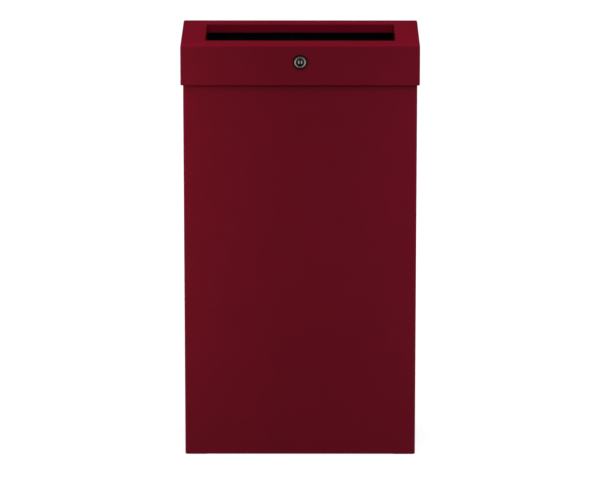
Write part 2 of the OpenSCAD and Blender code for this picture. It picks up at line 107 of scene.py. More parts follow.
class SeamSettings(bpy.types.PropertyGroup):
    """The spot welds that hold the wrapper's rear flanges to the back panel"""

    welds: IntProperty(
        name="Spot welds", description="Number of spot welds on each rear seam", min=2, max=20,
        default=9)
    weld_width: FloatProperty(
        name="Weld width", description="Width of one spot weld's dimple", min=0.002, max=0.008,
        unit="LENGTH", default=6 * MM)
    weld_depth: FloatProperty(
        name="Weld depth", description="Depth of one spot weld's dimple", min=0.00005, max=0.0005,
        unit="LENGTH", default=0.35 * MM)


class LockSettings(bpy.types.PropertyGroup):
    """The cam lock in the lid's skirt"""

    thread_pitch: FloatProperty(
        name="Thread pitch", description="Pitch of the barrel's thread", min=0.0006, max=0.002,
        unit="LENGTH", default=1.0 * MM)
    thread_depth: FloatProperty(
        name="Thread depth", description="Depth of the barrel's thread", min=0.0002, max=0.0008,
        unit="LENGTH", default=0.55 * MM)
    hub_rounding: FloatProperty(
        name="Hub rounding", description="Rounding of the hub round the keyway", min=0.0001,
        max=0.0008, unit="LENGTH", default=0.5 * MM)
    ward: FloatProperty(
        name="Ward", description="How far the keyway's ward groove reaches from its middle",
        min=0.0008, max=0.0015, unit="LENGTH", default=1.15 * MM)
    nut_chamfer: FloatProperty(
        name="Nut chamfer", description="Height of the chamfer on the nut's corners", min=0.0003,
        max=0.0015, unit="LENGTH", default=0.9 * MM)


class BucketSettings(bpy.types.PropertyGroup):
    """The inner bucket"""

    rim_rounding: FloatProperty(
        name="Rim rounding", description="Rounding of the rim's outer edges", min=0.0005,
        max=0.0022, unit="LENGTH", default=1.8 * MM)
    edge_rounding: FloatProperty(
        name="Edge rounding", description="Rounding of the hand holes and the inner rim",
        min=0.0002, max=0.0009, unit="LENGTH", default=0.7 * MM)


class StageSettings(bpy.types.PropertyGroup):
    """Camera, floor and light"""

    camera_distance: FloatProperty(
        name="Camera distance", description="Distance in front of the bin's middle", min=1, max=20,
        unit="LENGTH", default=6.0)
    camera_height: FloatProperty(
        name="Camera height", description="Height of the camera over the floor", min=0, max=5,
        unit="LENGTH", default=1.82)
    camera_side: FloatProperty(
        name="Camera side", description="How far the camera stands to the right", min=-1, max=1,
        unit="LENGTH", default=0.0135)
    aim_height: FloatProperty(
        name="Aim height", description="Height of the point that the camera looks at", min=0, max=1,
        unit="LENGTH", default=0.290)
    aim_side: FloatProperty(
        name="Aim side", description="How far to the right that point lies", min=-1, max=1,
        unit="LENGTH", default=-0.0004)
    lens: FloatProperty(
        name="Lens", description="Focal length in millimetres", min=20, max=400, default=263.6)
    sky: FloatProperty(
        name="Light from above", description="Strength of the even light from above", min=0, max=4,
        default=0.05)
    overhead: FloatProperty(
        name="Light from overhead", description="Strength of the soft light from straight above",
        min=0, max=10, default=2.25)
    front: FloatProperty(
        name="Light from the front", description="Strength of the soft light from high in front",
        min=0, max=10, default=1.27)
    ground: FloatProperty(
        name="Light from below", description="Strength of the light that comes back off the floor",
        min=0, max=4, default=0.03)


# Shapes


def ordered(shape):
    """The shape, its elements in one order: a spin or bevel gives them another in each run."""
    for elements, place in (
            (shape.verts, lambda v: tuple(v.co)),
            (shape.edges, lambda e: sorted(v.index for v in e.verts)),
            (shape.faces, lambda f: sorted(v.index for v in f.verts))):
        rank = {element: i for i, element in enumerate(sorted(elements, key=place))}
        elements.sort(key=rank.get)
        elements.index_update()
    return shape


def cleaned(shape):
    """The shape, its doubled points merged and its flat faces made whole."""
    bmesh.ops.remove_doubles(shape, verts=shape.verts, dist=SAME_POINT)
    bmesh.ops.dissolve_limit(
        shape, angle_limit=SAME_FACE, verts=shape.verts, edges=shape.edges)
    return ordered(shape)


def merged(node):
    """A shape with a CAD node's own form."""
    shape = bmesh.new()
    shape.from_mesh(frame["nodes"][node].data)
    return cleaned(shape)


def round_corners(shape, radius, segments=2, among=None):
    """Rounds every edge that bends more than a facet does, or only those that among() picks."""
    edges = [e for e in shape.edges if e.is_manifold and e.calc_face_angle() > CORNER]
    if among:
        edges = [e for e in edges if among(e)]
    bmesh.ops.bevel(
        shape, geom=edges, offset=radius, offset_type="OFFSET", segments=segments, profile=0.5,
        affect="EDGES", clamp_overlap=True, material=-1)
    return ordered(shape)


def spun(profile, steps):
    """A solid turned about Z from a closed profile of (radius, height) points."""
    shape = bmesh.new()
    points = [shape.verts.new((radius, 0, height)) for radius, height in profile]
    edges = [shape.edges.new(pair) for pair in zip(points, points[1:] + points[:1])]
    bmesh.ops.spin(
        shape, geom=points + edges, cent=(0, 0, 0), axis=(0, 0, 1), angle=math.tau, steps=steps,
        use_merge=True)
    bmesh.ops.remove_doubles(shape, verts=shape.verts, dist=SAME_POINT)
    loose = [e for e in shape.edges if not e.link_faces]
    bmesh.ops.delete(shape, geom=loose, context="EDGES")
    return ordered(shape)


def beyond(radius, height, *steps):
    """Profile points, given in millimetres out from a radius and up from a height."""
    return [(radius + out * MM, height + up * MM) for out, up in steps]


def threaded(radius, depth, pitch, low, high):
    """A screw thread along Z, closed well past both of its ends."""
    shape = bmesh.new()
    line, spare, steps = [], 2, 48
    root = radius - depth
    for turn in range(math.ceil((high - low) / pitch) + 2 * spare):
        height = low + (turn - spare) * pitch
        for reach, share in ((root, 0), (root, 0.1), (radius, 0.5), (radius, 0.6)):
            line.append(shape.verts.new((reach, 0, height + share * pitch)))
    edges = [shape.edges.new(pair) for pair in zip(line, line[1:])]
    bmesh.ops.spin(
        shape, geom=line + edges, cent=(0, 0, 0), axis=(0, 0, 1), dvec=(0, 0, pitch / steps),
        angle=math.tau, steps=steps, use_merge=False)
    bmesh.ops.remove_doubles(shape, verts=shape.verts, dist=SAME_POINT)
    bmesh.ops.holes_fill(shape, edges=[e for e in shape.edges if e.is_boundary], sides=0)
    return ordered(shape)


def block(low, high):
    """A box between two corners."""
    shape = bmesh.new()
    bmesh.ops.create_cube(shape, size=1)
    low, high = Vector(low), Vector(high)
    return placed(shape, Matrix.LocRotScale((low + high) / 2, None, high - low))


def placed(shape, matrix):
    """The shape, moved by a matrix."""
    bmesh.ops.transform(shape, matrix=matrix, verts=shape.verts)
    return shape


def lying(node):
    """A lock node's own form, laid along Z with the skirt's front at the origin."""
    return placed(merged(node), AT_LOCK.inverted())


def joined(shapes):
    """Several shapes as one."""
    whole = bmesh.new()
    for shape in shapes:
        part = bpy.data.meshes.new("part")
        shape.to_mesh(part)
        shape.free()
        whole.from_mesh(part)
        bpy.data.meshes.remove(part)
    return whole


def carved(shape, tool, operation="DIFFERENCE"):
    """The shape without the tool's space, or only what both share, or both as one."""
    holders = []
    for name, source in (("carved", shape), ("tool", tool)):
        bmesh.ops.recalc_face_normals(source, faces=source.faces)
        mesh = bpy.data.meshes.new(name)
        source.to_mesh(mesh)
        source.free()
        holder = bpy.data.objects.new(name, mesh)
        bpy.context.scene.collection.objects.link(holder)
        holders.append(holder)
    cut = holders[0].modifiers.new("cut", "BOOLEAN")
    cut.operation = operation
    cut.solver = "EXACT"
    cut.object = holders[1]
    graph = bpy.context.evaluated_depsgraph_get()
    result = bmesh.new()
    result.from_mesh(holders[0].evaluated_get(graph).to_mesh())
    for holder in holders:
        mesh = holder.data
        bpy.data.objects.remove(holder)
        bpy.data.meshes.remove(mesh)
    return cleaned(result)


def corners(points):
    """The lowest and the highest corner of the box round some of a shape's points."""
    return [Vector(pick(v.co[i] for v in points) for i in range(3)) for pick in (min, max)]


def solids(node):
    """The lowest and highest corner of each separate solid of a CAD node, left to right."""
    shape = merged(node)
    left, found = set(shape.verts), []
    while left:
        group = {left.pop()}
        rim = list(group)
        while rim:
            near = {e.other_vert(v) for v in rim for e in v.link_edges} - group
            group |= near
            rim = list(near)
        left -= group
        found.append(corners(group))
    shape.free()
    return sorted(found, key=lambda pair: tuple(pair[0]))


def height_of(edge):
    """The height of an edge's middle."""
    return (edge.verts[0].co.z + edge.verts[1].co.z) / 2


# Materials


class Wire:
    """A socket that sums can be written with: each sum adds a Math node."""

    def __init__(self, finish, socket):
        self.finish = finish
        self.socket = socket

    def sum(self, operation, *values):
        """A Math node's result."""
        return self.finish.add("ShaderNodeMath", {"operation": operation}, dict(enumerate(values)))

    def __abs__(self):
        return self.sum("ABSOLUTE", self)

    def __add__(self, other):
        return self.sum("ADD", self, other)

    def __radd__(self, other):
        return self.sum("ADD", other, self)

    def __sub__(self, other):
        return self.sum("SUBTRACT", self, other)

    def __rsub__(self, other):
        return self.sum("SUBTRACT", other, self)

    def __mul__(self, other):
        return self.sum("MULTIPLY", self, other)

    def __rmul__(self, other):
        return self.sum("MULTIPLY", other, self)

    def __pow__(self, other):
        return self.sum("POWER", self, other)


class Nodes:
    """A node tree, with one way to add any node to it."""

    def __init__(self, tree):
        self.tree = tree
        self.tree.nodes.clear()

    def add(self, kind, settings, values, output=0):
        """Adds a node: first its settings, then its sockets' values or links."""
        node = self.tree.nodes.new(kind)
        for name, value in settings.items():
            setattr(node, name, value)
        for socket, value in values.items():
            if isinstance(value, Wire):
                self.tree.links.new(value.socket, node.inputs[socket])
            else:
                node.inputs[socket].default_value = value
        return Wire(self, node.outputs[output]) if node.outputs else node

    def between(self, value, low, high, start=0.0, end=1.0):
        """A soft step from start to end, as the value goes from low to high."""
        values = {"Value": value, "From Min": low, "From Max": high, "To Min": start, "To Max": end}
        return self.add("ShaderNodeMapRange", {"interpolation_type": "SMOOTHSTEP"}, values)


class Finish(Nodes):
    """A material with one Principled shader."""

    def __init__(self, name, **uniform):
        self.material = bpy.data.materials.new(name)
        self.material.use_nodes = True
        super().__init__(self.material.node_tree)
        self.shader = self.tree.nodes.new("ShaderNodeBsdfPrincipled")
        output = self.tree.nodes.new("ShaderNodeOutputMaterial")
        self.tree.links.new(self.shader.outputs["BSDF"], output.inputs["Surface"])
        for socket, value in uniform.items():
            self.shader.inputs[socket.replace("_", " ")].default_value = value
        self.place = self.add("ShaderNodeTexCoord", {}, {}, "Object")

    def noise(self, size, detail, roughness=0.5, place=None):
        """Soft noise with ripples of about that size, from 0 to 1."""
        values = {"Vector": place or self.place, "Scale": 1 / size, "Detail": detail,
                  "Roughness": roughness}
        return self.add("ShaderNodeTexNoise", {}, values, "Fac")

    def coordinate(self, axis, start=0.0):
        """One coordinate of the surface, counted from that start."""
        return self.add("ShaderNodeSeparateXYZ", {}, {"Vector": self.place}, axis) - start

    def stretched(self, x, y, z):
        """Coordinates with each axis scaled."""
        return self.add("ShaderNodeMapping", {}, {"Vector": self.place, "Scale": (x, y, z)})

    def blend(self, share, first, second):
        """One colour over another, by share."""
        below, above = (c if isinstance(c, Wire) else (*c, 1) for c in (first, second))
        return self.add("ShaderNodeMix", {"data_type": "RGBA"}, {0: share, 6: below, 7: above}, 2)

    def varied(self, relief=None, depth=0.0, strength=1.0, **sockets):
        """Links what changes over the surface, and a relief of that depth on the normal."""
        if relief:
            values = {"Height": relief, "Distance": depth, "Strength": strength}
            sockets["Normal"] = self.add("ShaderNodeBump", {}, values)
        for socket, value in sockets.items():
            self.tree.links.new(value.socket, self.shader.inputs[socket.replace("_", " ")])
        return self.material


def front_folds(finish):
    """Where a highlight is painted on the upright front folds of the body and of the lid's skirt.
    """
    body_low, body_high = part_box("body_wrapper")
    lid_low, lid_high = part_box("lid_shell")
    skirt_from, overhang = lid_low[2], lid_high[0] - body_high[0]
    skirt = finish.between(finish.coordinate("Z"), skirt_from - 0.2 * MM, skirt_from, 0.0, overhang)
    from_side = skirt + body_high[0] - abs(finish.coordinate("X"))
    from_front = skirt + finish.coordinate("Y", body_low[1])
    at_side = finish.between(from_side, 1.9 * MM, 0.4 * MM)
    return at_side * finish.between(from_front, 3.4 * MM, 1.8 * MM)


def powder_coat():
    """Burgundy semi-matt coat: orange peel, thick and thin patches, specks, painted highlights on
    the front folds.
    """
    settings = bpy.context.scene.bin_coat
    finish = Finish("burgundy_powder_coat", Specular_IOR_Level=0.1)
    peel = finish.noise(settings.peel_size, 1.5)
    patches = finish.noise(45 * MM, 3)
    grains = finish.noise(2.6 * MM, 3, roughness=0.6)
    specks = finish.between(finish.noise(1.7 * MM, 1), 0.7, 0.78)
    thin = finish.between(0.55 * patches + 0.45 * grains, 0.36, 0.64)
    # Painted highlight on the upright front folds, where the coat's gloss would catch the light;
    # the patches break it up
    painted_fold_highlight = front_folds(finish) * (0.4 + 0.6 * patches)
    colour = finish.blend(thin, settings.deep_colour, settings.colour)
    colour = finish.blend(0.1 * specks, colour, (0.26, 0.04, 0.05))
    colour = finish.blend(painted_fold_highlight, colour, settings.fold_highlight_colour)
    roughness = settings.roughness + 0.10 * (patches - 0.5) + 0.08 * (grains - 0.5)
    return finish.varied(
        0.7 * peel + 0.3 * grains, 0.05 * MM, 0.55, Base_Color=colour, Roughness=roughness)


def bright_nickel():
    """Turned and plated lock metal: scratches, dull patches, painted shade at the ring's top and
    bottom, a darker outer edge, and a hub painted dark with painted highlights.
    """
    finish = Finish("bright_nickel", Metallic=0.9)
    scratches = finish.noise(0.25 * MM, 3, place=finish.stretched(1, 0.08, 0.35))
    dull = finish.noise(3.2 * MM, 3)
    across = finish.coordinate("X", LOCK.x)
    up = finish.coordinate("Z", LOCK.z)
    away = (across ** 2 + up ** 2) ** 0.5
    beside = abs(across)
    plating_and_painted_shade = finish.blend(dull, (0.54, 0.49, 0.45), (0.69, 0.64, 0.60))
    # Painted shade: the ring is darker at its top and bottom than at its sides, where it mirrors
    # the light
    plating_and_painted_shade = finish.blend(
        finish.between(beside, 0.5 * MM, 6 * MM), (0.30, 0.26, 0.22), plating_and_painted_shade)
    # Darker towards the ring's outer edge
    plating_and_painted_shade = finish.blend(
        finish.between(away, 7.6 * MM, 8.3 * MM), plating_and_painted_shade, (0.13, 0.10, 0.09))
    # Painted highlights on the hub beside the keyway; the rest of the hub is painted dark as its
    # shade
    marks = finish.between(abs(up), 2.15 * MM, 1.95 * MM)
    marks = marks * finish.between(beside, 1.05 * MM, 1.2 * MM)
    marks = marks * finish.between(beside, 2.75 * MM, 2.6 * MM)
    hub = finish.blend(marks, (0.022, 0.016, 0.014), (0.80, 0.72, 0.73))
    colour = finish.blend(finish.between(away, 3.5 * MM, 3.1 * MM), plating_and_painted_shade, hub)
    roughness = 0.24 + 0.16 * dull + 0.06 * scratches
    return finish.varied(scratches, 0.01 * MM, 0.4, Base_Color=colour, Roughness=roughness)


def zinc_plate(name="zinc_plate", shade=1.0):
    """Zinc-plated steel, bright or blackened: soft clouds, spangle, fine marks and a dull film."""
    finish = Finish(name, Metallic=0.72)
    spots = {"Vector": finish.place, "Scale": 1 / (4 * MM)}
    cells = finish.add("ShaderNodeTexVoronoi", {}, spots, "Color")
    spangle = finish.add("ShaderNodeSeparateColor", {}, {"Color": cells}, "Red")
    clouds = finish.noise(14 * MM, 3)
    grain = finish.noise(0.5 * MM, 2)
    blue, yellow, grey = (
        tuple(shade * part for part in tint)
        for tint in ((0.57, 0.59, 0.62), (0.71, 0.70, 0.66), (0.50, 0.52, 0.55)))
    colour = finish.blend(clouds, blue, yellow)
    colour = finish.blend(0.35 * spangle, colour, grey)
    roughness = 0.32 + 0.14 * spangle + 0.12 * (clouds - 0.5)
    return finish.varied(grain, 0.01 * MM, 0.4, Base_Color=colour, Roughness=roughness)


def shade_dark_zinc():
    """Blackened zinc, dark enough to stand in for painted shade, so that no rivet shines through
    the waste slot.
    """
    return zinc_plate("shade_dark_zinc", 0.05)


def dark_lacquer():
    """The plug's disc: black lacquer over brass, with a painted brown sheen towards its top."""
    finish = Finish("dark_lacquer", Specular_IOR_Level=0.4)
    # Painted sheen: the disc turns brown towards its top, broken up by the mottle
    up = finish.between(finish.coordinate("Z", LOCK.z), -1 * MM, 6 * MM)
    mottle = finish.noise(1.4 * MM, 3)
    painted_top_sheen = finish.between(up * (0.5 + mottle), 0.25, 0.9)
    colour = finish.blend(painted_top_sheen, (0.006, 0.006, 0.006), (0.055, 0.032, 0.022))
    return finish.varied(mottle, 0.01 * MM, 0.4, Base_Color=colour, Roughness=0.35 + 0.2 * mottle)


def black_rubber():
    """Moulded rubber: fine pores and a grey bloom."""
    finish = Finish("black_rubber", Specular_IOR_Level=0.12)
    pores = finish.noise(0.6 * MM, 3)
    bloom = finish.noise(9 * MM, 3)
    bloomed = finish.between(bloom, 0.4, 0.75)
    colour = finish.blend(bloomed, (0.004, 0.0035, 0.0035), (0.013, 0.012, 0.012))
    return finish.varied(pores, 0.04 * MM, 0.6, Base_Color=colour, Roughness=0.72 + 0.16 * bloom)


def black_plastic():
    """Moulded bucket plastic: fine spark grain, dull streaks from waste sliding down it."""
    finish = Finish("black_bucket_plastic", Specular_IOR_Level=0.06)
    grain = finish.noise(0.7 * MM, 2)
    streaks = finish.noise(7 * MM, 3, place=finish.stretched(1, 1, 0.06))
    clouds = finish.noise(60 * MM, 2)
    streaked = finish.between(streaks, 0.45, 0.8)
    colour = finish.blend(streaked, (0.0040, 0.0050, 0.0034), (0.0075, 0.0085, 0.0068))
    roughness = 0.5 + 0.14 * streaks + 0.1 * clouds
    return finish.varied(grain, 0.05 * MM, 0.5, Base_Color=colour, Roughness=roughness)


def pale_floor():
    """Matt white floor with a breath of unevenness."""
    finish = Finish(
        "pale_floor", Specular_IOR_Level=0.0, Roughness=1.0, Emission_Color=(1, 1, 1, 1),
        Emission_Strength=0.8)
    cloud = finish.noise(0.8, 1)
    return finish.varied(Base_Color=finish.blend(cloud, (0.21, 0.21, 0.21), (0.23, 0.23, 0.23)))


# What makes the finish of each of the record's slots, and of the rivets darkened as painted shade
FINISHES = {
    "powder_coat": powder_coat, "bright_metal": bright_nickel, "zinc": zinc_plate,
    "shade_dark_zinc": shade_dark_zinc, "dark_metal": dark_lacquer, "rubber": black_rubber,
    "black_plastic": black_plastic,
}
# The finishes that are made already
MADE = {}


# Pieces


def dressed(name, shape, body, slot, node, kind=None):
    """Makes a piece from a shape: it rides on a body and stands for a CAD node.

    It wears its slot's finish, or another kind of it.
    """
    bmesh.ops.recalc_face_normals(shape, faces=shape.faces)
    for face in shape.faces:
        face.smooth = True
    for edge in shape.edges:
        edge.smooth = edge.is_manifold and edge.calc_face_angle() < CORNER
    mesh = bpy.data.meshes.new(name)
    shape.to_mesh(mesh)
    shape.free()
    kind = kind or slot
    if kind not in MADE:
        MADE[kind] = FINISHES[kind]()
    mesh.materials.append(MADE[kind])
    made = bpy.data.objects.new(name, mesh)
    bpy.context.scene.collection.objects.link(made)
    flat = made.modifiers.new("even normals", "WEIGHTED_NORMAL")
    flat.keep_sharp = True
    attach(made, body)
    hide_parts(node)


def eased(name, node, body, slot, radius, segments=2):
    """Makes a piece with its node's own form, its corners rounded."""
    dressed(name, round_corners(merged(node), radius, segments), body, slot, node)


# Operators


class BIN_OT_sheet_steel(bpy.types.Operator):
    """Make the coated sheet-steel pieces: wrapper, back, floor tray and lid"""

    bl_idname = "bin.sheet_steel"
    bl_label = "Sheet steel"

    def execute(self, context):
        radius = context.scene.bin_coat.edge_radius
        wrapper = round_corners(merged("body_wrapper"), radius)
        wrapper = carved(wrapper, self.dimples(context.scene.bin_seam))
        dressed("wrapper_sheet", wrapper, "body", "powder_coat", "body_wrapper")
        eased("back_sheet", "back_panel", "body", "powder_coat", radius)
        eased("floor_tray", "base_pan", "body", "powder_coat", radius)
        eased("lid_sheet", "lid_shell", "lid", "powder_coat", radius)
        return {"FINISHED"}

    def dimples(self, settings):
        """What the spot welds press out of both rear flanges."""
        low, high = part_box("body_wrapper")
        wide, deep = settings.weld_width / 2, settings.weld_depth
        profile = (
            (0, -0.9), (0.5, -1), (0.7, -0.85), (0.84, -0.4), (0.95, -0.06), (1, 0.1), (1, 4),
            (0, 4))
        flange_middle = high[0] - 8 * MM
        first, last = low[2] + 30 * MM, high[2] - 50 * MM
        made = []
        for i in range(settings.welds):
            for side in (-1, 1):
                height = first + (last - first) * i / (settings.welds - 1)
                place = Matrix.Translation((side * flange_middle, high[1], height))
                dimple = spun([(out * wide, up * deep) for out, up in profile], 24)
                made.append(placed(dimple, place @ BACKWARDS))
        return joined(made)


class BIN_OT_rubber(bpy.types.Operator):
    """Make the foot pads, the lid buffers and the lock's gasket"""

    bl_idname = "bin.rubber"
    bl_label = "Rubber pads and buffers"

    def execute(self, context):
        for corner in ("front_left", "front_right", "rear_left", "rear_right"):
            eased(f"foot_pad_{corner}", f"foot_{corner}", "body", "rubber", 0.5 * MM, 3)
        eased("rubber_buffers", "lid_buffers", "body", "rubber", 0.4 * MM, 3)
        eased("gasket_ring", "lock_gasket", "lid", "rubber", 0.25 * MM, 3)
        return {"FINISHED"}


class BIN_OT_hinge(bpy.types.Operator):
    """Make the piano hinge with its domed rivets, and the feet's rivets"""

    bl_idname = "bin.hinge"
    bl_label = "Piano hinge and rivets"

    def execute(self, context):
        eased("body_leaf", "hinge_leaf_body", "body", "zinc", 0.15 * MM)
        eased("lid_leaf", "hinge_leaf_lid", "lid", "zinc", 0.15 * MM)
        eased("hinge_rod", "hinge_pin", "body", "bright_metal", 0.5 * MM, 3)
        panel_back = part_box("back_panel")[1][1]
        self.rivets(
            "leaf_rivets", "hinge_rivets", BACKWARDS, under_head=(0, panel_back + LEAF, 0),
            under_tail=(0, panel_back - SHEET, 0), shank=0.5, tail=0.75)
        foot_under, tray_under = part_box("foot_rivets")[0][2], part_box("base_pan")[0][2]
        self.rivets(
            "foot_rivet_heads", "foot_rivets", DOWNWARDS,
            under_head=(0, 0, foot_under + RIVET_HEAD), under_tail=(0, 0, tray_under + SHEET),
            shank=0.53, tail=0.8)
        return {"FINISHED"}

    def rivets(self, name, node, turn, under_head, under_tail, shank, tail):
        """A domed rivet in the place of each of a node's own, its head where Z is turned to.

        The shank's and the tail's radius are shares of the head's.
        """
        made = []
        for low, high in solids(node):
            place = Matrix.Translation((low + high) / 2) @ turn
            back = place.inverted()
            end, top = sorted((back @ corner).z for corner in (low, high))
            heights = (back @ Vector(under_head)).z, top, (back @ Vector(under_tail)).z, end
            made.append(placed(self.domed((high.x - low.x) / 2, *heights, shank, tail), place))
        # The rivets wear zinc darkened to read as painted shade
        dressed(name, joined(made), "body", "zinc", node, kind="shade_dark_zinc")

    def domed(self, radius, head_at, head_top, tail_at, tail_top, shank, tail):
        """A blind rivet along Z: a domed head with the mandrel's hole, a shank, a spread tail."""
        rise, spread = head_top - head_at, tail_top - tail_at
        shank, tail = shank * radius, tail * radius
        return spun([
            (0, head_at + 0.3 * rise), (0.42 * shank, head_at + 0.3 * rise),
            (0.48 * shank, head_at + 0.94 * rise), (0.40 * radius, head_top),
            (0.68 * radius, head_at + 0.84 * rise), (0.90 * radius, head_at + 0.52 * rise),
            (radius, head_at + 0.18 * rise), (radius, head_at), (shank, head_at), (shank, tail_at),
            (tail, tail_at), (tail, tail_at + 0.4 * spread), (0.84 * tail, tail_at + 0.78 * spread),
            (0.5 * tail, tail_top), (0, tail_top),
        ], 28)


class BIN_OT_lock(bpy.types.Operator):
    """Make the cam lock: barrel with its face ring, plug, disc, washers, nut, cam and screw"""

    bl_idname = "bin.lock"
    bl_label = "Cam lock"

    def execute(self, context):
        settings = context.scene.bin_lock
        for name, make, body, slot, node in (
                ("lock_barrel", self.barrel, "lid", "bright_metal", "lock_housing"),
                ("barrel_nut", self.nut, "lid", "zinc", "lock_nut"),
                ("plug_core", self.plug, "lock_rotor", "bright_metal", "lock_plug"),
                ("plug_disc", self.disc, "lock_rotor", "dark_metal", "lock_plug_cap"),
                ("cross_screw", self.screw, "lock_rotor", "zinc", "cam_screw")):
            own = lying(node)
            low, high = corners(own.verts)
            dressed(name, placed(make(own, low, high, settings), AT_LOCK), body, slot, node)
        eased("barrel_washer", "lock_washer", "lid", "zinc", 0.2 * MM)
        eased("stop_disc", "lock_stop_washer", "lock_rotor", "zinc", 0.15 * MM)
        eased("cam_tongue", "lock_cam", "lock_rotor", "zinc", 0.3 * MM, 3)
        eased("screw_washer", "cam_washer", "lock_rotor", "zinc", 0.15 * MM)
        return {"FINISHED"}

    def barrel(self, own, low, high, settings):
        """The barrel: a rounded face ring, and a shank with its thread cut into two flats."""
        radius, face, bore = high.x, low.z, 5.8 * MM
        crest = radius - 0.7 * MM
        thread = threaded(crest, settings.thread_depth, settings.thread_pitch, -0.5 * MM, high.z)
        inside = (0, 1.25), (0, 0.4), (0.1, 0.22), (0.4, 0.07), (0.8, 0.01)
        crown = (1.2, 0), (1.6, 0.04), (1.95, 0.18), (2.25, 0.42), (2.5, 0.78)
        outside = (-0.15, 1.15), (0, 1.4), (-0.05, 1.6)
        back = (-0.9, 1.6), (-0.9, 1.25)
        ring = spun(
            beyond(bore, face, *inside, *crown) + beyond(radius, face, *outside)
            + beyond(crest, face, *back), 96)
        return carved(carved(thread, own, "INTERSECT"), ring, "UNION")

    def nut(self, own, low, high, settings):
        """The hexagon nut, its corners turned off."""
        flat, drop = 0.96 * high.y, settings.nut_chamfer
        corner = high.x + drop
        lens = spun([
            (0, low.z), (flat, low.z), (corner, low.z + drop), (corner, high.z - drop),
            (flat, high.z), (0, high.z),
        ], 72)
        return round_corners(carved(own, lens, "INTERSECT"), 0.12 * MM)

    def plug(self, own, low, high, settings):
        """The core: a rounded bright hub with a warded keyway, and the flatted tail."""
        ward = block(
            (-settings.ward, -0.3 * MM, low.z - 1 * MM), (-0.3 * MM, 0.8 * MM, low.z + 6 * MM))
        face, hub = low.z + 0.01 * MM, 3.1 * MM

        def on_hub(edge):
            return height_of(edge) < face and min(v.co.to_2d().length for v in edge.verts) > hub

        core = round_corners(carved(own, ward), settings.hub_rounding, 5, on_hub)
        return round_corners(core, 0.1 * MM)

    def disc(self, own, low, high, settings):
        """The dark disc round the hub, dished towards it."""
        own.free()
        hub, radius, face = 3.2 * MM, high.x, low.z
        dish = (0, 0.5), (0.5, 0.5), (1.1, 0.34), (1.7, 0.12)
        edge = (-0.35, 0.02), (-0.12, 0), (0, 0.1)
        return spun(
            beyond(hub, face, *dish) + beyond(radius, face, *edge)
            + [(radius, high.z), (hub, high.z)], 96)

    def screw(self, own, low, high, settings):
        """The cam's screw: a rounded head with a cross cut into it, and a shank."""
        own.free()
        head, shank, top = high.x, 2 * MM, high.z
        dome = (0, 0), (0.4, 0.04), (0.68, 0.24), (0.88, 0.66), (0.98, 1.2), (1, 1.7), (1, 2.2)
        body = spun(
            [(share * head, top - drop * MM) for share, drop in dome]
            + beyond(shank, top, (0, -2.2)) + beyond(shank, low.z, (0, 0.5), (-0.5, 0))
            + [(0, low.z)], 48)
        for x, y in ((2.4 * MM, 0.5 * MM), (0.5 * MM, 2.4 * MM)):
            body = carved(body, block((-x, -y, top - 1.5 * MM), (x, y, top + 1 * MM)))
        return body


class BIN_OT_bucket(bpy.types.Operator):
    """Make the inner bucket: rolled rim, rounded hand holes"""

    bl_idname = "bin.bucket"
    bl_label = "Inner bucket"

    def execute(self, context):
        settings = context.scene.bin_bucket
        low, high = (Vector(corner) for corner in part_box("inner_liner"))
        middle = (low + high) / 2
        rim = high.z - 0.01 * MM

        def on_rim(edge):
            sides = [face for face in edge.link_faces if abs(face.normal.z) < 0.1]
            outside = any(face.normal.dot(face.calc_center_median() - middle) > 0 for face in sides)
            return height_of(edge) > rim and outside

        bucket = round_corners(merged("inner_liner"), settings.rim_rounding, 4, on_rim)
        bucket = round_corners(bucket, settings.edge_rounding, 3)
        dressed("inner_bucket", bucket, "body", "black_plastic", "inner_liner")
        return {"FINISHED"}


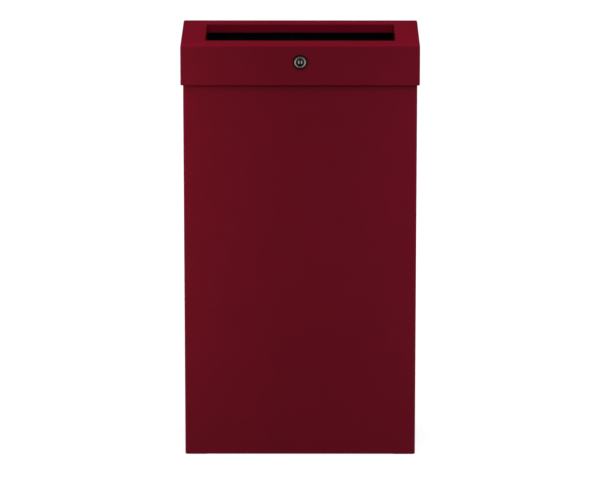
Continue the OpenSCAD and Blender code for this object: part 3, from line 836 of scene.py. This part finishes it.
class BIN_OT_stage(bpy.types.Operator):
    """Set the floor, the light and the camera"""

    bl_idname = "bin.stage"
    bl_label = "Stage"

    def execute(self, context):
        settings = context.scene.bin_stage
        self.floor()
        self.surroundings(settings)
        for name, place, aim, size, power, colour in (
                ("left_softbox", (-0.30, -0.24, 0.36), (0, -0.08, 0.32), (0.08, 0.72),
                 0.61, (1.0, 0.98, 0.84)),
                ("right_softbox", (0.30, -0.24, 0.36), (0, -0.08, 0.32), (0.08, 0.72),
                 0.40, (1.0, 0.98, 1.25)),
                ("left_side_softbox", (-1.5, 0.05, 0.5), (0, 0, 0.4), (0.9, 1.0),
                 5.0, (1.0, 0.97, 0.9)),
                ("right_side_softbox", (1.5, 0.05, 0.5), (0, 0, 0.4), (0.9, 1.0),
                 4.0, (1.0, 0.98, 1.2)),
                ("back_softbox", (0, 1.8, 1.0), (0, 0.1, 0.35), (1.6, 1.2),
                 11.0, (1.0, 1.0, 1.0))):
            self.softbox(name, place, aim, size, power, colour)
        self.canopy("overhead_canopy", settings.overhead, tilt=0, width=90)
        self.canopy("front_canopy", settings.front, tilt=30, width=60)
        self.camera(settings)
        context.scene.view_settings.view_transform = "Standard"
        return {"FINISHED"}

    def floor(self):
        """A wide floor that takes shadows but gives no light to the bin."""
        shape = bmesh.new()
        bmesh.ops.create_grid(shape, x_segments=8, y_segments=8, size=120)
        mesh = bpy.data.meshes.new("floor")
        shape.to_mesh(mesh)
        shape.free()
        mesh.materials.append(pale_floor())
        floor = bpy.data.objects.new("floor", mesh)
        floor.visible_glossy = False
        floor.visible_diffuse = False
        bpy.context.scene.collection.objects.link(floor)

    def surroundings(self, settings):
        """White to the eye, even light on what is matt, and in gloss a band under the horizon.

        Heights are sines of the angle over the horizon.
        """
        world = bpy.data.worlds.new("white_studio")
        world.use_nodes = True
        world.cycles.sampling_method = "NONE"
        sky = Nodes(world.node_tree)
        direction = sky.add("ShaderNodeTexCoord", {}, {}, "Generated")
        height = sky.add("ShaderNodeSeparateXYZ", {}, {"Vector": direction}, "Z")
        across = sky.add("ShaderNodeSeparateXYZ", {}, {"Vector": direction}, "X")
        lit = sky.between(height, -0.15, 0.15, settings.ground, settings.sky)
        overhead = sky.between(height, 0.55, 0.95, 0.002, 0.04)
        near_floor = sky.between(height, -0.02, -0.16, 0.0, 0.56)
        steep = sky.between(height, -0.34, -0.70, 0.0, 0.43)
        sides = sky.between(across ** 2, 0.5, 1.0, 0.0, 0.15)
        mirrored = overhead + near_floor - steep + sides
        seen = sky.add("ShaderNodeLightPath", {}, {}, "Is Camera Ray")
        gloss = sky.add("ShaderNodeLightPath", {}, {}, "Is Glossy Ray")
        strength = seen + (1 - seen) * (gloss * mirrored + (1 - gloss) * lit)
        light = sky.add("ShaderNodeBackground", {}, {"Color": (1, 1, 1, 1), "Strength": strength})
        sky.add("ShaderNodeOutputWorld", {}, {"Surface": light})
        bpy.context.scene.world = world

    def lamp(self, name, kind, energy):
        """A light that doesn't show in the gloss."""
        light = bpy.data.lights.new(name, kind)
        light.energy = energy
        light.cycles.use_multiple_importance_sampling = False
        lamp = bpy.data.objects.new(name, light)
        lamp.visible_glossy = False
        bpy.context.scene.collection.objects.link(lamp)
        return lamp

    def aim(self, thing, place, aim):
        """Puts a light or the camera in its place, facing a point."""
        thing.location = place
        thing.rotation_mode = "QUATERNION"
        thing.rotation_quaternion = (Vector(aim) - Vector(place)).to_track_quat("-Z", "Y")

    def softbox(self, name, place, aim, size, power, colour):
        """A rectangle of light beside the bin, of that many watts."""
        lamp = self.lamp(name, "AREA", power)
        lamp.data.shape = "RECTANGLE"
        lamp.data.size, lamp.data.size_y = size
        lamp.data.color = colour
        lamp.visible_camera = False
        self.aim(lamp, place, aim)

    def canopy(self, name, strength, tilt, width):
        """Light as wide as that, in degrees, from overhead or from that far in front of it."""
        lamp = self.lamp(name, "SUN", strength)
        lamp.data.angle = math.radians(width)
        lamp.rotation_euler = (math.radians(tilt), 0, 0)

    def camera(self, settings):
        """The photograph's view, from in front and above."""
        eye = bpy.data.cameras.new("photo_view")
        eye.lens = settings.lens
        eye.sensor_width = 36
        eye.clip_end = 400
        camera = bpy.data.objects.new("photo_view", eye)
        place = (settings.camera_side, -settings.camera_distance, settings.camera_height)
        self.aim(camera, place, (settings.aim_side, 0, settings.aim_height))
        bpy.context.scene.collection.objects.link(camera)
        bpy.context.scene.camera = camera


OPERATORS = (
    BIN_OT_sheet_steel, BIN_OT_rubber, BIN_OT_hinge, BIN_OT_lock, BIN_OT_bucket, BIN_OT_stage)
SETTINGS = {
    "bin_coat": CoatSettings, "bin_seam": SeamSettings, "bin_lock": LockSettings,
    "bin_bucket": BucketSettings, "bin_stage": StageSettings,
}


class BIN_PT_panel(bpy.types.Panel):
    """Lists the waste bin's settings and operators"""

    bl_idname = "BIN_PT_panel"
    bl_label = "Waste bin"
    bl_space_type = "VIEW_3D"
    bl_region_type = "UI"
    bl_category = "Waste bin"

    def draw(self, context):
        for name, group in SETTINGS.items():
            box = self.layout.box()
            for setting in group.__annotations__:
                box.prop(getattr(context.scene, name), setting)
        for operator in OPERATORS:
            self.layout.operator(operator.bl_idname)


CLASSES = (*SETTINGS.values(), *OPERATORS, BIN_PT_panel)


def register():
    for group in CLASSES:
        bpy.utils.register_class(group)
    for name, group in SETTINGS.items():
        setattr(bpy.types.Scene, name, PointerProperty(type=group))


def unregister():
    for name in SETTINGS:
        delattr(bpy.types.Scene, name)
    for group in reversed(CLASSES):
        bpy.utils.unregister_class(group)


def main():
    """Makes the pieces and the stage."""
    register()
    bpy.ops.bin.sheet_steel()
    bpy.ops.bin.rubber()
    bpy.ops.bin.hinge()
    bpy.ops.bin.lock()
    bpy.ops.bin.bucket()
    bpy.ops.bin.stage()


if __name__ == "__main__":
    main()
